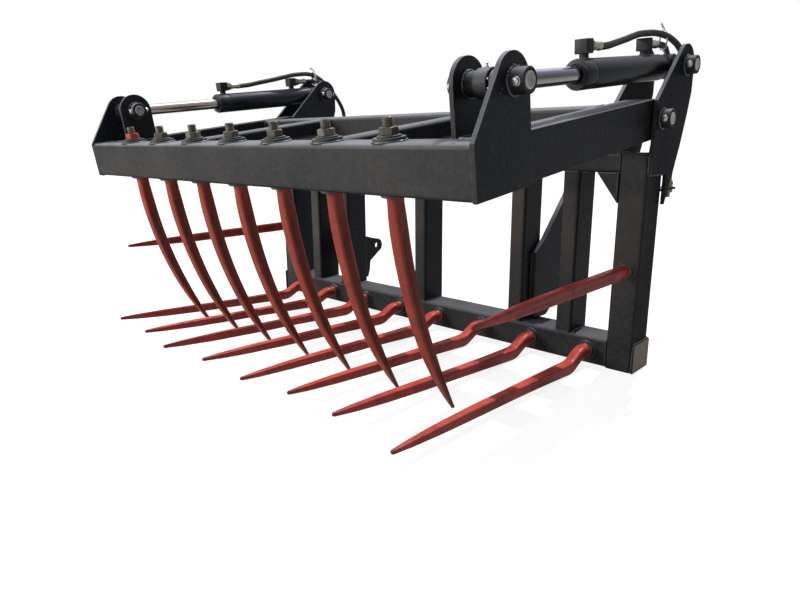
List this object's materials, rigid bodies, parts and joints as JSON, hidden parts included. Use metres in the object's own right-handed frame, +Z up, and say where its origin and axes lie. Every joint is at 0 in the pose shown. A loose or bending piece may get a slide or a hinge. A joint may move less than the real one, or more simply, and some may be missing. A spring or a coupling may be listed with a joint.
{
  "type": "silage grab",
  "caption": "Loader silage grab: a box-section frame with straight tines and a hydraulically opened top grab with curved tines.",
  "frame": {"origin": "centre of the underside of the bottom beam", "axes": "+Z up, tines point along -Y, +X is the right side seen from the front"},
  "size_m": [1.594, 1.1482, 0.8906],
  "materials": {
    "frame_paint": "semi-gloss charcoal paint, dusty",
    "tine_paint": "brick red paint on forged steel, worn at the tips",
    "yellow_zinc": "yellow zinc plating, dusty",
    "bare_steel": "bright steel with traces of grease",
    "rod_chrome": "hard chrome, polished",
    "hose_rubber": "black rubber hose, satin"
  },
  "bodies": {
    "frame": {"bottom_beam": "frame_paint", "top_beam": "frame_paint", "end_upright_left": "frame_paint", "end_upright_right": "frame_paint", "frame_posts": "frame_paint", "corner_gussets": "frame_paint", "upright_caps": "frame_paint", "pivot_plates_left": "frame_paint", "pivot_plates_right": "frame_paint", "hitch_bracket_left": "frame_paint", "hitch_bracket_right": "frame_paint", "frame_tine_bushes": "frame_paint", "lower_tine_1": "tine_paint", "lower_tine_2": "tine_paint", "lower_tine_3": "tine_paint", "lower_tine_4": "tine_paint", "lower_tine_5": "tine_paint", "lower_tine_6": "tine_paint", "lower_tine_7": "tine_paint", "lower_tine_8": "tine_paint", "side_tine_left": "tine_paint", "side_tine_right": "tine_paint", "frame_tine_nuts": "yellow_zinc", "frame_pin_collars": "frame_paint", "arm_pivot_pins": "bare_steel", "base_pins": "bare_steel", "frame_pin_bolts": "bare_steel", "hose_plates": "frame_paint", "hose_couplings": "yellow_zinc", "front_hose_left": "hose_rubber", "rear_hose_left": "hose_rubber", "front_hose_right": "hose_rubber", "rear_hose_right": "hose_rubber"},
    "grab": {"front_beam": "frame_paint", "cross_tube": "frame_paint", "arm_left": "frame_paint", "arm_right": "frame_paint", "braces": "frame_paint", "ears_left": "frame_paint", "ears_right": "frame_paint", "grab_tine_bushes": "frame_paint", "upper_tine_1": "tine_paint", "upper_tine_2": "tine_paint", "upper_tine_3": "tine_paint", "upper_tine_4": "tine_paint", "upper_tine_5": "tine_paint", "upper_tine_6": "tine_paint", "upper_tine_7": "tine_paint", "grab_tine_nuts": "yellow_zinc", "rod_pins": "bare_steel", "ear_collars": "frame_paint", "ear_pin_bolts": "bare_steel"},
    "barrel_left": {"barrel_left": "frame_paint", "gland_left": "frame_paint", "port_fittings_left": "yellow_zinc"},
    "rod_left": {"piston_rod_left": "rod_chrome"},
    "barrel_right": {"barrel_right": "frame_paint", "gland_right": "frame_paint", "port_fittings_right": "yellow_zinc"},
    "rod_right": {"piston_rod_right": "rod_chrome"}
  },
  "joints": [
    {"name": "grab_hinge", "type": "hinge", "parent": "frame", "child": "grab", "pos_m": [0, -0.0125, 0.67], "axis": [-1, 0, 0], "range_deg": [0, 65]},
    {"name": "barrel_hinge_left", "type": "hinge", "parent": "frame", "child": "barrel_left", "pos_m": [-0.71, 0.12, 0.805], "axis": [-1, 0, 0], "range_deg": [0, 58], "deforming": ["front_hose_left", "rear_hose_left"]},
    {"name": "rod_slide_left", "type": "slide", "parent": "barrel_left", "child": "rod_left", "axis": [0, 0.9946, 0.1041], "range_m": [0, 0.186]},
    {"name": "barrel_hinge_right", "type": "hinge", "parent": "frame", "child": "barrel_right", "pos_m": [0.71, 0.12, 0.805], "axis": [-1, 0, 0], "range_deg": [0, 58], "deforming": ["front_hose_right", "rear_hose_right"]},
    {"name": "rod_slide_right", "type": "slide", "parent": "barrel_right", "child": "rod_right", "axis": [0, 0.9946, 0.1041], "range_m": [0, 0.186]}
  ],
  "couplings": [
    {"joint": "barrel_hinge_left", "follows": "grab_hinge", "ratio": 0.888},
    {"joint": "rod_slide_left", "follows": "grab_hinge", "m_per_rad": 0.163},
    {"joint": "barrel_hinge_right", "follows": "grab_hinge", "ratio": 0.888},
    {"joint": "rod_slide_right", "follows": "grab_hinge", "m_per_rad": 0.163}
  ]
}
